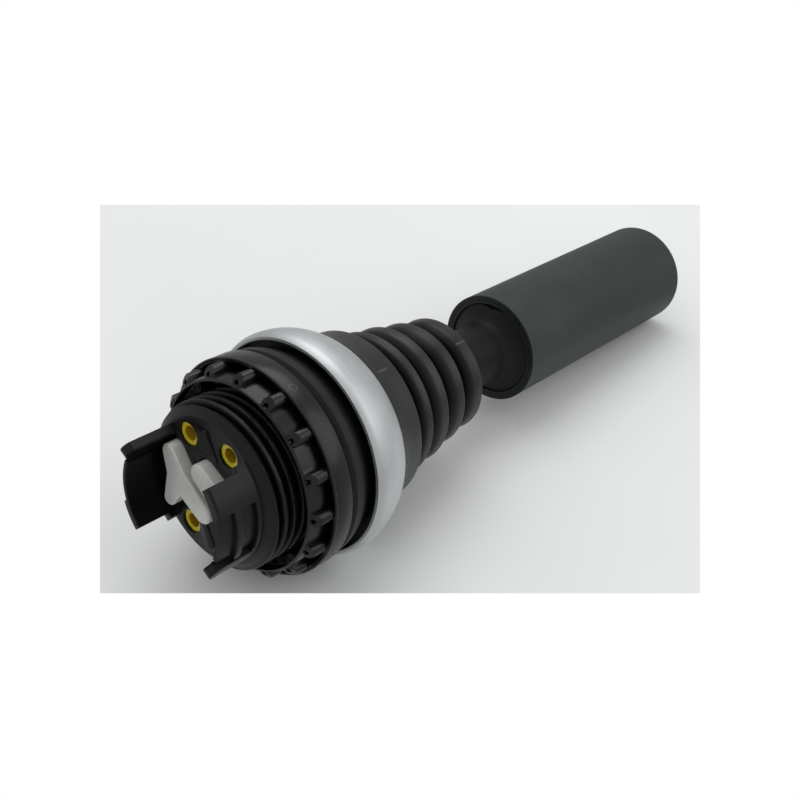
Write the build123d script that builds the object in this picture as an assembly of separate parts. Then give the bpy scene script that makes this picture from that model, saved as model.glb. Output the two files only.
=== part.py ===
from build123d import *
from math import radians, sqrt
import os

"""Four-way panel joystick head with a rubber bellows and a long plain grip.

Millimetres. +Z runs along the upright lever, from the threaded barrel behind the
panel to the grip. The origin is the middle of the face that lies on the panel.
+X and -X carry the two latching ears behind the barrel, and -Y is uppermost when
the head lies on a table with its ears level.
"""

os.makedirs("parts", exist_ok=True)

# Clearances
running_gap = 0.05       # radial, a pin turning or a barrel sliding in its hole
seat_gap = 0.3           # between pieces of different bodies that face each other
slot_gap = 0.25          # round a plunger in its window
press_gap = 0.02         # radial, a piece held fast on its shaft

# Threaded housing
thread_radius = 11.0     # major radius of the 22 mm panel thread
barrel_length = 10.5     # panel face to the barrel's rear face
barrel_chamfer = 1.45    # lead-in at the barrel's rear edge, measured along the radius
chamfer_length = 0.95    # the same lead-in, measured along the barrel
rear_wall = 1.9
barrel_wall = 1.7
flange_step = 1.0        # flange past the thread
flange_rear = 1.0
flange_thickness = 3.4
collar_step = 0.2        # front collar past the thread
collar_length = 2.1      # front collar, past the flange

# Latching ears behind the barrel
ear_inner_radius = 8.1
ear_outer_radius = 9.4
ear_length = 6.1
ear_start = -42.5        # degrees from the ear's middle
ear_end = 42.5
ear_block_end = -18.5    # the full-thickness block runs from ear_start to here
leg_start = 27.0
leg_radius = 1.0         # rounded end of the leg
leg_reach = 0.7          # how far the leg stands past the ear's tip
ear_slot = 4.0           # degrees, the slot beside the leg
pocket_depth = 0.7
tip_pocket_length = 2.2
latch_rib_length = 0.9
lower_pocket_length = 2.3
gusset_angle = 5.0
gusset_length = 1.5
ear_edge_break = 0.25

# Moulded rib on the barrel's rear face
face_rib_width = 0.8
face_rib_height = 0.4
face_rib_inner = (1.3, -4.7)
face_rib_outer = (-0.3, -7.9)

# Ring nut
nut_gap = 0.4            # in front of the nut, where the panel goes
nut_length = 6.0
nut_wall = 1.8           # collar's thickness round the bore
nut_mouth_wall = 0.4     # collar's thin rear rim, round its lead-in
nut_mouth_depth = 1.6
nut_skirt_step = 1.65    # skirt past the collar
nut_floor = 1.7          # skirt's floor behind the nut's front face
nut_rim_width = 0.6
nut_rim_height = 1.3
nut_edge_break = 0.35
lug_count = 16
lug_radius = 0.9
lug_reach = 0.4          # lug's end short of the skirt's edge
lug_height = 4.1         # lug's rear end above the skirt's floor
lug_offset = 1.0         # degrees
lug_edge_round = 0.5
lug_dimple_radius = 0.35
lug_dimple_depth = 0.6
lug_dimple_step = 0.28   # dimple's middle past the collar
washer_width = 1.5
washer_thickness = 1.0
washer_inner_gap = 0.3   # washer's bore round the barrel

# Panel gasket, a rubber cup round the flange
gasket_wall = 2.2        # at the panel
gasket_front_wall = 0.9
gasket_edge_break = 0.5
gasket_lip = 0.5         # how far the cup stands past the flange's front face

# Front bezel
bezel_rear = 3.4
bezel_play = 0.15        # between the gasket and the bezel's rear skirt
bezel_edge_wall = 0.5
bezel_bulge = 0.4        # crown past the rear edge
bezel_crown = 4.8
bezel_front = 10.0
bezel_front_wall = 0.3
bezel_mouth_play = 0.3   # round the bellows' skirt
bezel_web_rear = 5.1

# Rubber bellows
bellows_wall = 0.85
foot_thickness = 1.2
foot_overhang = 0.4      # of the foot's bore past the barrel's bore
skirt_step = 1.55        # skirt past the collar it stands on
skirt_rise = 9.6         # where the skirt starts to narrow
skirt_rim = 14.9
skirt_rim_radius = 11.6
first_ring = 18.7        # front edge of the first convolution
ring_count = 4
ring_pitch = 4.27
ring_radius = 10.3
ring_taper = 0.75        # radius lost from one convolution to the next
ring_width = 2.1
valley_depth = 1.9
valley_width = 0.8
nose_length = 1.6        # front face, from the last convolution to the neck

# Clamp plate, which holds the bellows' foot and seats the spring
clamp_play = 0.2         # between the clamp plate and the skirt
clamp_thickness = 1.0
clamp_opening = 5.6

# Gimbal
pivot_height = 2.7
tilt_limit = 15.0        # degrees, each way about each axis
gimbal_radius = 8.4
gimbal_inner_radius = 4.8
gimbal_height = 4.4
pivot_pin_radius = 1.0
trunnion_depth = 2.0     # how far a trunnion pin reaches into the gimbal ring
trunnion_recess = 0.1
cross_pin_recess = 0.2

# Lever
rod_radius = 2.5
hub_radius = 4.4
tail_top = 4.2           # below the pivot
tail_thickness = 1.4
tail_half_length = 5.7
tail_half_width = 1.6
tail_boss_radius = 3.0
tail_spigot_radius = 1.5

# Centring spring and its seat on the lever
spring_wire_radius = 0.45
spring_radius = 6.2
spring_turns = 3
spring_top = 13.4
seat_flange_radius = 6.8
seat_flange_thickness = 1.2
seat_tube_radius = 3.4

# Lever neck and grip
neck_radius = 4.4
neck_rear = 29.5
neck_flare_start = 40.6
neck_disc_radius = 6.75
neck_disc_thickness = 0.6
grip_rear = 43.75
grip_length = 41.45
grip_radius = 8.06
grip_end_radius = 7.85
grip_wall = 1.15
grip_end_wall = 2.2
grip_end_round = 1.6
grip_recess = 0.15       # neck disc's rear face below the grip's rim
core_start = 0.0         # behind the neck's disc
rod_end_gap = 2.7        # rod's end to the grip's closed end
core_land = 5.0
core_waist_radius = 4.6
lock_nut_flats = 8.0
lock_nut_height = 4.0
rod_overhang = 1.0       # rod's end past the lock nut

# Switch pins, which follow the gimbal
pin_x = 3.55
pin_y = 6.3
pin_radius = 1.55
pin_hole_radius = 0.95
pin_hole_depth = 6.0
pin_recess = 0.4         # rear end below the barrel's rear face
pin_stop_radius = 1.9
pin_stop_thickness = 0.6

# Plungers, which follow the lever's tail
plunger_reach = 1.55     # past the barrel's rear face
plunger_x = 4.4
plunger_post_radius = 1.5
plunger_stop_radius = 2.6
plunger_stop_thickness = 0.6
plunger_top_gap = 0.62   # free play under the tail
plunger_edge_break = 0.2
plunger_hub = (-4.3, -0.5)
plunger_hub_radius = 1.8
plunger_arms = [((-5.6, -3.5), 1.15), ((-5.9, 3.3), 0.95), ((0.1, 2.6), 1.5)]
stop_gap = 0.25          # between a stop and the rear wall at full travel

# Places that follow from the sizes above
rear_face = -barrel_length
barrel_bore_radius = thread_radius - barrel_wall
flange_radius = thread_radius + flange_step
collar_radius = thread_radius + collar_step
gasket_radius = flange_radius + gasket_wall
gasket_front_radius = flange_radius + gasket_front_wall
bezel_rear_radius = gasket_radius + bezel_play + bezel_edge_wall
bezel_crown_radius = bezel_rear_radius + bezel_bulge
foot_inner_radius = barrel_bore_radius + foot_overhang
skirt_radius = collar_radius + skirt_step
bezel_mouth_radius = skirt_radius + bezel_mouth_play
bezel_front_radius = bezel_mouth_radius + bezel_front_wall
clamp_radius = skirt_radius - bellows_wall - clamp_play
nut_collar_radius = thread_radius + running_gap + nut_wall
nut_skirt_radius = nut_collar_radius + nut_skirt_step
nut_front = -nut_gap
wall_front = rear_face + rear_wall
flange_front = flange_rear + flange_thickness
collar_front = flange_front + collar_length
foot_front = collar_front + foot_thickness
clamp_front = foot_front + clamp_thickness
nut_rear = nut_front - nut_length
floor_rear = nut_front - nut_floor
last_ring = first_ring + (ring_count - 1) * ring_pitch
bellows_front = last_ring + nose_length
gimbal_underside = pivot_height - gimbal_height / 2
tail_underside = pivot_height - tail_top - tail_thickness
grip_front = grip_rear + grip_length
grip_bore_radius = grip_radius - grip_wall
disc_rear = grip_rear + grip_recess
core_rear = disc_rear + neck_disc_thickness + core_start
rod_front = grip_front - grip_end_wall - rod_end_gap
core_front = rod_front - rod_overhang - lock_nut_height
pin_travel = pin_y * radians(tilt_limit)
plunger_travel = plunger_x * radians(tilt_limit)


def turned(points):
    """Solid turned about Z from a closed outline of (radius, z) corners."""
    outline = make_face(Polyline(*points, close=True))
    return revolve(Plane.XZ * outline, Axis.Z)


def disc(radius, rear, front, bore=0.0):
    """Round plate or tube on the Z axis between two heights."""
    outline = Circle(radius)
    if bore > 0:
        outline = outline - Circle(bore)
    return Pos(0, 0, rear) * extrude(outline, front - rear)


def sector(inner, outer, start, end, rear, front):
    """Piece of a tube on the Z axis, between two angles in degrees."""
    near = CenterArc((0, 0), inner, start, end - start)
    far = CenterArc((0, 0), outer, start, end - start)
    sides = [Line(near @ 0, far @ 0), Line(near @ 1, far @ 1)]
    outline = make_face([near, far] + sides)
    return Pos(0, 0, rear) * extrude(outline, front - rear)


def crossbar(radius, start, end, height, angle=0.0):
    """Round bar that points outwards from the Z axis at an angle."""
    bar = Pos(start, 0, 0) * Rot(0, 90, 0) * Cylinder(
        radius, end - start, align=(Align.CENTER, Align.CENTER, Align.MIN))
    return Pos(0, 0, height) * Rot(0, 0, angle) * bar


def limb(first, first_radius, second, second_radius):
    """Flat outline that wraps two circles, as a belt does."""
    dx = second[0] - first[0]
    dy = second[1] - first[1]
    span = sqrt(dx * dx + dy * dy)
    ux, uy = dx / span, dy / span
    lean = (first_radius - second_radius) / span
    side = sqrt(1 - lean * lean)
    corners = []
    for centre, radius, turn in ((first, first_radius, 1), (second, second_radius, 1),
                                 (second, second_radius, -1), (first, first_radius, -1)):
        nx = ux * lean - turn * uy * side
        ny = uy * lean + turn * ux * side
        corners.append((centre[0] + radius * nx, centre[1] + radius * ny))
    belt = make_face(Polyline(*corners, close=True))
    return belt + Pos(*first) * Circle(first_radius) + Pos(*second) * Circle(second_radius)


def plunger_outline(margin=0.0):
    """Three-armed outline of a plunger's head, grown by a margin."""
    outline = None
    for end, radius in plunger_arms:
        arm = limb(plunger_hub, plunger_hub_radius + margin, end, radius + margin)
        outline = arm if outline is None else outline + arm
    return outline


def ear():
    """One latching ear, centred on +X: a block, a pocketed wall, a slot and a leg."""
    tip = rear_face - ear_length
    root = rear_face + 0.5
    wall = sector(ear_inner_radius, ear_outer_radius, ear_start, ear_end, tip, root)
    middle_end = leg_start - ear_slot
    outside = ear_outer_radius + 1
    pocket_floor = ear_outer_radius - pocket_depth
    tip_pocket_front = tip + tip_pocket_length
    lower_pocket_rear = tip_pocket_front + latch_rib_length
    wall -= sector(pocket_floor, outside, ear_block_end, middle_end + 0.5,
                   tip - 1, tip_pocket_front)
    wall -= sector(pocket_floor, outside, ear_block_end, middle_end + 0.5,
                   lower_pocket_rear, lower_pocket_rear + lower_pocket_length)
    wall -= sector(ear_inner_radius - 1, outside, middle_end, leg_start,
                   tip - 1, rear_face - 0.9)
    leg_middle = (leg_start + ear_end) / 2
    leg_tip = tip - leg_reach + leg_radius
    wall += crossbar(leg_radius, ear_inner_radius, ear_outer_radius, leg_tip, leg_middle)
    wall += sector(ear_inner_radius, ear_outer_radius, ear_start - gusset_angle,
                   ear_start + 1, rear_face - gusset_length, root)
    block_edges = [edge for edge in wall.edges().filter_by(GeomType.CIRCLE)
                   if abs(edge.center().Z - tip) < 0.01
                   and abs(edge.radius - ear_outer_radius) < 0.01
                   and edge.center().Y < 0]
    return chamfer(block_edges, ear_edge_break) if block_edges else wall


def face_rib():
    """Low moulded rib between two switch pins on the barrel's rear face."""
    x0, y0 = face_rib_inner
    x1, y1 = face_rib_outer
    outline = limb((x0, y0), face_rib_width / 2, (x1, y1), face_rib_width / 2)
    return Pos(0, 0, rear_face - face_rib_height) * extrude(outline, face_rib_height + 0.3)


def threaded_housing():
    """Barrel, flange and ears in one moulding, with windows for pins and plungers."""
    body = turned([
        (0, rear_face),
        (thread_radius - barrel_chamfer, rear_face),
        (thread_radius, rear_face + chamfer_length),
        (thread_radius, flange_rear),
        (flange_radius, flange_rear),
        (flange_radius, flange_front),
        (collar_radius, flange_front),
        (collar_radius, collar_front),
        (barrel_bore_radius, collar_front),
        (barrel_bore_radius, wall_front),
        (0, wall_front)])
    body += ear() + Rot(0, 0, 180) * ear()
    body += face_rib() + Rot(0, 0, 180) * face_rib()
    window = plunger_outline(slot_gap)
    window = window + Rot(0, 0, 180) * window
    body -= Pos(0, 0, rear_face - 1) * extrude(window, rear_wall + 2)
    for x in (-pin_x, pin_x):
        for y in (-pin_y, pin_y):
            hole = disc(pin_radius + running_gap, rear_face - 1, wall_front + 1)
            body -= Pos(x, y, 0) * hole
    for angle in (0, 180):
        body -= crossbar(pivot_pin_radius + press_gap, barrel_bore_radius - 1,
                         flange_radius + 1, pivot_height, angle)
    return body


def trunnion_pins():
    """Two steel pins from the flange into the gimbal ring, along X."""
    inner = gimbal_radius - trunnion_depth
    outer = flange_radius - trunnion_recess
    first = crossbar(pivot_pin_radius, inner, outer, pivot_height)
    return Compound(children=[first, Rot(0, 0, 180) * first])


def nut_lug():
    """One lug on +X: a rounded radial bar with a dimple in its rear end."""
    start = nut_collar_radius - nut_wall / 3
    end = nut_skirt_radius - lug_reach - lug_radius
    rear = floor_rear - lug_height
    outline = limb((start, 0), lug_radius, (end, 0), lug_radius)
    lug = Pos(0, 0, rear) * extrude(outline, lug_height + 0.2)
    lug = fillet(lug.edges().group_by(Axis.Z)[0], lug_edge_round)
    dimple = disc(lug_dimple_radius, rear - 1, rear + lug_dimple_depth)
    return lug - Pos(nut_collar_radius + lug_dimple_step, 0, 0) * dimple


def ring_nut():
    """Ring nut: a collar with a wide lead-in, a cupped skirt and lugs between them."""
    bore = thread_radius + running_gap
    mouth = nut_collar_radius - nut_mouth_wall
    recess_radius = bore + washer_inner_gap + washer_width + running_gap
    recess_rear = nut_front - washer_thickness - running_gap
    rim_inner = nut_skirt_radius - nut_rim_width
    body = turned([
        (bore, nut_rear + nut_mouth_depth + (mouth - bore) / 2),
        (mouth, nut_rear + nut_mouth_depth),
        (mouth, nut_rear),
        (nut_collar_radius - nut_edge_break / 2, nut_rear),
        (nut_collar_radius, nut_rear + nut_edge_break),
        (nut_collar_radius, floor_rear),
        (rim_inner, floor_rear),
        (rim_inner, floor_rear - nut_rim_height),
        (nut_skirt_radius, floor_rear - nut_rim_height),
        (nut_skirt_radius, nut_front - nut_edge_break),
        (nut_skirt_radius - nut_edge_break, nut_front),
        (recess_radius, nut_front),
        (recess_radius, recess_rear),
        (bore, recess_rear)])
    lug = nut_lug()
    body += [Rot(0, 0, lug_offset + index * 360 / lug_count) * lug
             for index in range(lug_count)]
    body -= disc(bore, nut_rear - 1, nut_front + 1)
    return body - disc(mouth, nut_rear - 1, nut_rear + nut_mouth_depth)


def thrust_washer():
    """Steel washer in the nut's front recess, which doesn't turn with the nut."""
    inner = thread_radius + running_gap + washer_inner_gap
    return disc(inner + washer_width, nut_front - washer_thickness, nut_front, inner)


def panel_gasket():
    """Rubber cup whose rear face lies on the panel."""
    front = flange_front + gasket_lip
    return turned([
        (thread_radius + press_gap, 0),
        (gasket_radius - gasket_edge_break, 0),
        (gasket_radius, gasket_edge_break),
        (gasket_radius - 0.1, 1.6),
        (gasket_front_radius, front),
        (flange_radius + press_gap, front),
        (flange_radius + press_gap, flange_rear),
        (thread_radius + press_gap, flange_rear)])


def front_bezel():
    """Domed metal ring with a thin rear skirt and a web seated on the flange."""
    rise = bezel_front - bezel_crown
    drop = bezel_crown_radius - bezel_front_radius
    dome_radius = (rise * rise + drop * drop) / (2 * drop)
    half_rise = rise / 2
    half_drop = dome_radius - sqrt(dome_radius * dome_radius - half_rise * half_rise)
    crown = (bezel_crown_radius, bezel_crown)
    rear_edge = (bezel_rear_radius, bezel_rear)
    middle = (bezel_rear_radius + (bezel_crown_radius - bezel_rear_radius) * 0.75,
              (bezel_rear + bezel_crown) / 2 - 0.1)
    front_edge = (bezel_front_radius, bezel_front)
    skin_radius = bezel_rear_radius - bezel_edge_wall
    web_front = collar_front
    mouth = bezel_mouth_radius
    outline = [
        ThreePointArc(rear_edge, middle, crown),
        ThreePointArc(crown, (crown[0] - half_drop, crown[1] + half_rise), front_edge),
        Polyline(front_edge, (mouth, bezel_front), (mouth, web_front),
                 (collar_radius + press_gap, web_front),
                 (collar_radius + press_gap, bezel_web_rear),
                 (skin_radius, bezel_web_rear), (skin_radius, bezel_rear), rear_edge)]
    return revolve(Plane.XZ * make_face(outline), Axis.Z)


def bellows_outline():
    """Outer (radius, z) corners of the bellows, from its skirt to its nose."""
    points = [(skirt_radius, skirt_rise),
              (skirt_rim_radius + 0.15, skirt_rim - 0.7),
              (skirt_rim_radius - 0.15, skirt_rim)]
    for index in range(ring_count):
        edge = first_ring + index * ring_pitch
        radius = ring_radius - index * ring_taper
        valley = radius - valley_depth
        start = edge - ring_width
        points += [(valley, start - 0.35 - valley_width),
                   (valley, start - 0.35),
                   (radius - 0.45, start),
                   (radius, start + 0.6),
                   (radius, edge - 0.5),
                   (radius - 0.4, edge)]
    return points


def bellows():
    """Rubber bellows: a clamped foot, a skirt, four convolutions and a closed nose."""
    outer = bellows_outline()
    inner = [(radius - bellows_wall, z) for radius, z in outer]
    bore = neck_radius + press_gap
    nose_rear = last_ring
    start = [(foot_inner_radius, collar_front), (skirt_radius, collar_front)]
    nose = [(bore + bellows_wall, bellows_front), (bore, bellows_front), (bore, nose_rear)]
    foot = [(skirt_radius - bellows_wall, foot_front), (foot_inner_radius, foot_front)]
    return turned(start + outer + nose + inner[::-1] + foot)


def bellows_clamp():
    """Plate that presses the bellows' foot on the collar and seats the spring."""
    return disc(clamp_radius, foot_front, clamp_front, clamp_opening)


def centring_spring():
    """Open coil spring from the clamp plate to its seat on the lever."""
    bottom = clamp_front + spring_wire_radius
    top = spring_top - spring_wire_radius
    coil = Helix((top - bottom) / spring_turns, top - bottom, spring_radius)
    coil = Pos(0, 0, bottom) * coil
    section = Plane(coil @ 0, z_dir=coil % 0) * Circle(spring_wire_radius)
    return sweep(section, path=coil)


def gimbal_ring():
    """Ring that tilts about X on the trunnion pins and carries the cross pin along Y."""
    rear = gimbal_underside
    ring = disc(gimbal_radius, rear, rear + gimbal_height, gimbal_inner_radius)
    for angle in (0, 90, 180, 270):
        ring -= crossbar(pivot_pin_radius + running_gap, gimbal_inner_radius - 1,
                         gimbal_radius + 1, pivot_height, angle)
    return ring


def cross_pin():
    """Steel pin along Y, fast in the hub and turning in the gimbal ring."""
    half = gimbal_radius - cross_pin_recess
    return crossbar(pivot_pin_radius, -half, half, pivot_height, 90)


def cross_hole():
    """Cutter for the cross pin's press fit in the lever's pieces."""
    return crossbar(pivot_pin_radius + press_gap, -hub_radius, hub_radius, pivot_height, 90)


def pivot_hub():
    """Ball-shaped hub on the rod, inside the gimbal ring."""
    ball = Pos(0, 0, pivot_height) * Sphere(hub_radius)
    reach = hub_radius + 1
    ball -= disc(rod_radius + press_gap, pivot_height - reach, pivot_height + reach)
    return ball - cross_hole()


def lever_rod():
    """Steel rod from the tail bar to the lock nut in the grip."""
    tail = pivot_height - tail_top
    rod = disc(rod_radius, tail, rod_front)
    rod += disc(tail_spigot_radius, tail_underside, tail + 0.5)
    return rod - cross_hole()


def tail_bar():
    """Bar under the pivot that presses the plungers, riveted on the rod's spigot."""
    reach = tail_half_length - tail_half_width
    outline = SlotCenterToCenter(2 * reach, 2 * tail_half_width) + Circle(tail_boss_radius)
    outline -= Circle(tail_spigot_radius + press_gap)
    return Pos(0, 0, tail_underside) * extrude(outline, tail_thickness)


def spring_seat():
    """Flanged tube on the rod that takes the spring's upper end."""
    return turned([
        (rod_radius + press_gap, spring_top),
        (seat_flange_radius, spring_top),
        (seat_flange_radius, spring_top + seat_flange_thickness),
        (seat_tube_radius, spring_top + seat_flange_thickness),
        (seat_tube_radius, neck_rear),
        (rod_radius + press_gap, neck_rear)])


def lever_neck():
    """Sleeve that flares into the disc closing the grip's rear end."""
    disc_front = disc_rear + neck_disc_thickness
    flare_end = (neck_disc_radius, disc_rear)
    flare_start = (neck_radius, neck_flare_start)
    rise = disc_rear - neck_flare_start
    middle = (neck_radius + (neck_disc_radius - neck_radius) * 0.27,
              neck_flare_start + rise * 0.71)
    bore = rod_radius + press_gap
    outline = [
        ThreePointArc(flare_start, middle, flare_end),
        Polyline(flare_end, (neck_disc_radius, disc_front), (bore, disc_front),
                 (bore, neck_rear), (neck_radius, neck_rear), flare_start)]
    return revolve(Plane.XZ * make_face(outline), Axis.Z)


def grip_core():
    """Spool on the rod that centres and holds the grip sleeve."""
    bore = rod_radius + press_gap
    land = grip_bore_radius - press_gap
    draft = (grip_radius - grip_end_radius) / grip_length

    def land_radius(height):
        return land - draft * (height - grip_rear)

    rear_land = core_rear + core_land
    front_land = core_front - core_land
    return turned([
        (bore, core_rear), (land_radius(core_rear), core_rear),
        (land_radius(rear_land), rear_land), (core_waist_radius, rear_land),
        (core_waist_radius, front_land), (land_radius(front_land), front_land),
        (land_radius(core_front), core_front), (bore, core_front)])


def lock_nut():
    """Hexagon nut on the rod's end, inside the grip."""
    outline = RegularPolygon(lock_nut_flats / 2, 6, major_radius=False)
    outline -= Circle(rod_radius + press_gap)
    return Pos(0, 0, core_front) * extrude(outline, lock_nut_height)


def grip_sleeve():
    """Closed tapered sleeve with a rounded end."""
    inside_end = grip_front - grip_end_wall
    draft = (grip_radius - grip_end_radius) / grip_length
    inside_radius = grip_bore_radius - draft * (inside_end - grip_rear)
    sleeve = turned([
        (0, inside_end), (inside_radius, inside_end), (grip_bore_radius, grip_rear),
        (grip_radius, grip_rear), (grip_end_radius, grip_front), (0, grip_front)])
    end_edge = sleeve.edges().filter_by(GeomType.CIRCLE).sort_by(Axis.Z)[-1]
    return fillet(end_edge, grip_end_round)


def switch_pin(x, y):
    """Hollow pin with a domed end under the gimbal ring."""
    top = gimbal_underside - seat_gap
    dome = top - pin_radius
    rear = rear_face + pin_recess
    pin = disc(pin_radius, rear, dome) + Pos(0, 0, dome) * Sphere(pin_radius)
    stop = wall_front + pin_travel + stop_gap
    pin += disc(pin_stop_radius, stop, stop + pin_stop_thickness)
    pin -= disc(pin_hole_radius, rear - 1, rear + pin_hole_depth)
    return Pos(x, y, 0) * pin


def plunger():
    """Plunger on the -X side: a three-armed head, a stop and a domed post."""
    rear = rear_face - plunger_reach
    stop = wall_front + plunger_travel + stop_gap
    head = Pos(0, 0, rear) * extrude(plunger_outline(), stop - rear)
    rear_edges = head.edges().group_by(Axis.Z)[0]
    head = chamfer(rear_edges, plunger_edge_break)
    top = tail_underside - plunger_top_gap
    dome = top - plunger_post_radius
    post = disc(plunger_stop_radius, stop, stop + plunger_stop_thickness)
    post += disc(plunger_post_radius, stop, dome)
    post += Pos(0, 0, dome) * Sphere(plunger_post_radius)
    return head + Pos(-plunger_x, 0, 0) * post


nodes = {
    "threaded_housing": threaded_housing,
    "trunnion_pins": trunnion_pins,
    "panel_gasket": panel_gasket,
    "front_bezel": front_bezel,
    "bellows": bellows,
    "bellows_clamp": bellows_clamp,
    "centring_spring": centring_spring,
    "ring_nut": ring_nut,
    "thrust_washer": thrust_washer,
    "gimbal_ring": gimbal_ring,
    "cross_pin": cross_pin,
    "pivot_hub": pivot_hub,
    "lever_rod": lever_rod,
    "tail_bar": tail_bar,
    "spring_seat": spring_seat,
    "lever_neck": lever_neck,
    "grip_core": grip_core,
    "lock_nut": lock_nut,
    "grip_sleeve": grip_sleeve,
    "plunger_left": plunger,
    "plunger_right": lambda: Rot(0, 0, 180) * plunger(),
    "switch_pin_upper_left": lambda: switch_pin(-pin_x, -pin_y),
    "switch_pin_upper_right": lambda: switch_pin(pin_x, -pin_y),
    "switch_pin_lower_left": lambda: switch_pin(-pin_x, pin_y),
    "switch_pin_lower_right": lambda: switch_pin(pin_x, pin_y),
}

for name, make in nodes.items():
    solid = make()
    solid.label = name
    export_step(solid, f"parts/{name}.step")
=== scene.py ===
import math

import bpy
import numpy as np
from mathutils import Matrix, Vector


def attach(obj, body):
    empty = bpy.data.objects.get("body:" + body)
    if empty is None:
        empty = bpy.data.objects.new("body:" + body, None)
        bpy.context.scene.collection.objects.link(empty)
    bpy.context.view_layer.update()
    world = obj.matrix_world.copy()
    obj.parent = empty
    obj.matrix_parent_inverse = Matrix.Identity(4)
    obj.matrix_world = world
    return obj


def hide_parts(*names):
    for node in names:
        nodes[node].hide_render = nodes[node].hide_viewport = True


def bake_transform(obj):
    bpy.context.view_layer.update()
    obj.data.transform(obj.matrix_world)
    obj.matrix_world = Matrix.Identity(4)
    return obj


bl_info = {
    "name": "Panel joystick head",
    "version": (1, 0, 0),
    "blender": (4, 5, 0),
    "location": "3D View > Sidebar > Joystick",
    "description": "Dresses the CAD frame of a four-way panel joystick head",
    "category": "Object",
}

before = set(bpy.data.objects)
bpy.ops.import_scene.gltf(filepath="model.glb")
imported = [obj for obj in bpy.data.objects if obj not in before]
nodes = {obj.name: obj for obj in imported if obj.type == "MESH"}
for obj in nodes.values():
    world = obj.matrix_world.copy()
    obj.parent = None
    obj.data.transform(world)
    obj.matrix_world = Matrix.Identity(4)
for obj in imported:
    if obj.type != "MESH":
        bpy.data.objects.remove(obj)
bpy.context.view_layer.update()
MM = 0.001


def joystick_sizes():
    """The sizes that the panel in the sidebar shows."""
    return bpy.context.scene.joystick_sizes


def joystick_colours():
    """The colours that the panel in the sidebar shows."""
    return bpy.context.scene.joystick_colours


# Colours and shader nodes

def linear(code):
    """sRGB hex to linear: each channel through the sRGB curve's inverse."""
    channels = [int(code[i:i + 2], 16) / 255 for i in (1, 3, 5)]
    return tuple(c / 12.92 if c <= 0.04045 else ((c + 0.055) / 1.055) ** 2.4
                 for c in channels) + (1.0,)


def plug(tree, node, **sockets):
    """Gives a shader node's sockets their values or links.

    A socket's name is written with underscores, or as in_0 for the first input. A value
    may be another node's output, which is linked, or a plain value.
    """
    for key, value in sockets.items():
        if key.startswith("in_"):
            target = node.inputs[int(key[3:])]
        else:
            target = node.inputs[key.replace("_", " ")]
        if isinstance(value, bpy.types.NodeSocket):
            tree.links.new(value, target)
        else:
            target.default_value = value


def add(tree, kind, settings=None, **sockets):
    """Adds a shader node with its settings, and with its sockets as plug takes them.

    kind is the node's type without ShaderNode before it.
    """
    made = tree.nodes.new("ShaderNode" + kind)
    for key, value in (settings or {}).items():
        setattr(made, key, value)
    plug(tree, made, **sockets)
    return made


def step(tree, value, start, end):
    """0 before start and 1 past end, also where end is below start."""
    made = add(tree, "MapRange", Value=value, From_Min=start, From_Max=end)
    return made.outputs["Result"]


def ramp(tree, factor, stops):
    """Colour ramp from (position, hex colour) stops."""
    made = add(tree, "ValToRGB", in_0=factor)
    elements = made.color_ramp.elements
    while len(elements) < len(stops):
        elements.new(0.5)
    for element, (position, code) in zip(elements, stops):
        element.position = position
        element.color = linear(code)
    return made.outputs["Color"]


def new_material(name):
    """Empty material with its tree, its shader and its Object coordinates in millimetres."""
    made = bpy.data.materials.new(name)
    made.use_nodes = True
    tree = made.node_tree
    tree.nodes.clear()
    shader = add(tree, "BsdfPrincipled")
    add(tree, "OutputMaterial", Surface=shader.outputs["BSDF"])
    place = add(tree, "TexCoord")
    add(tree, "VectorMath", {"operation": "SCALE", "name": "millimetres"},
        in_0=place.outputs["Object"], Scale=1 / MM)
    return made, tree, shader, millimetre_places(made)


def millimetre_places(made):
    """A material's Object coordinates in millimetres, as a socket."""
    return made.node_tree.nodes["millimetres"].outputs["Vector"]


def cylinder_places(made):
    """Distance from the Z axis and the height, in mm, as two sockets of a material."""
    tree = made.node_tree
    split = add(tree, "SeparateXYZ", Vector=millimetre_places(made))
    flat = add(tree, "CombineXYZ", X=split.outputs["X"], Y=split.outputs["Y"])
    radius = add(tree, "VectorMath", {"operation": "LENGTH"},
                 in_0=flat.outputs["Vector"])
    return radius.outputs["Value"], split.outputs["Z"]


def moulded(name, dark, base, light, roughness, grain=0.35, grain_depth=0.012,
            blotch=5.0, specular=0.5):
    """Injection moulding: fine spark-eroded grain from the tool, and faint flow marks.

    The grain breaks the highlight up; the slow marks shift the colour and the gloss a
    little. grain and blotch are the spacings and grain_depth the depth, in mm.
    """
    made, tree, shader, place = new_material(name)
    flow = add(tree, "TexNoise", Vector=place, Scale=1 / blotch, Detail=3.0)
    fine = add(tree, "TexNoise", Vector=place, Scale=1 / grain, Detail=2.0)
    mixed = add(tree, "Math", {"operation": "MULTIPLY_ADD"},
                in_0=fine.outputs["Fac"], in_1=0.35, in_2=-0.17)
    tone = add(tree, "Math", {"operation": "ADD"},
               in_0=flow.outputs["Fac"], in_1=mixed.outputs[0])
    gloss = add(tree, "MapRange", Value=tone.outputs[0], From_Min=0.2, From_Max=0.8,
                To_Min=roughness - 0.05, To_Max=roughness + 0.08)
    bump = add(tree, "Bump", Strength=0.5, Distance=grain_depth * MM,
               Height=fine.outputs["Fac"])
    colour = ramp(tree, tone.outputs[0], [(0.25, dark), (0.5, base), (0.78, light)])
    plug(tree, shader, Base_Color=colour, Roughness=gloss.outputs["Result"],
         Normal=bump.outputs["Normal"], Specular_IOR_Level=specular)
    return made


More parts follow.
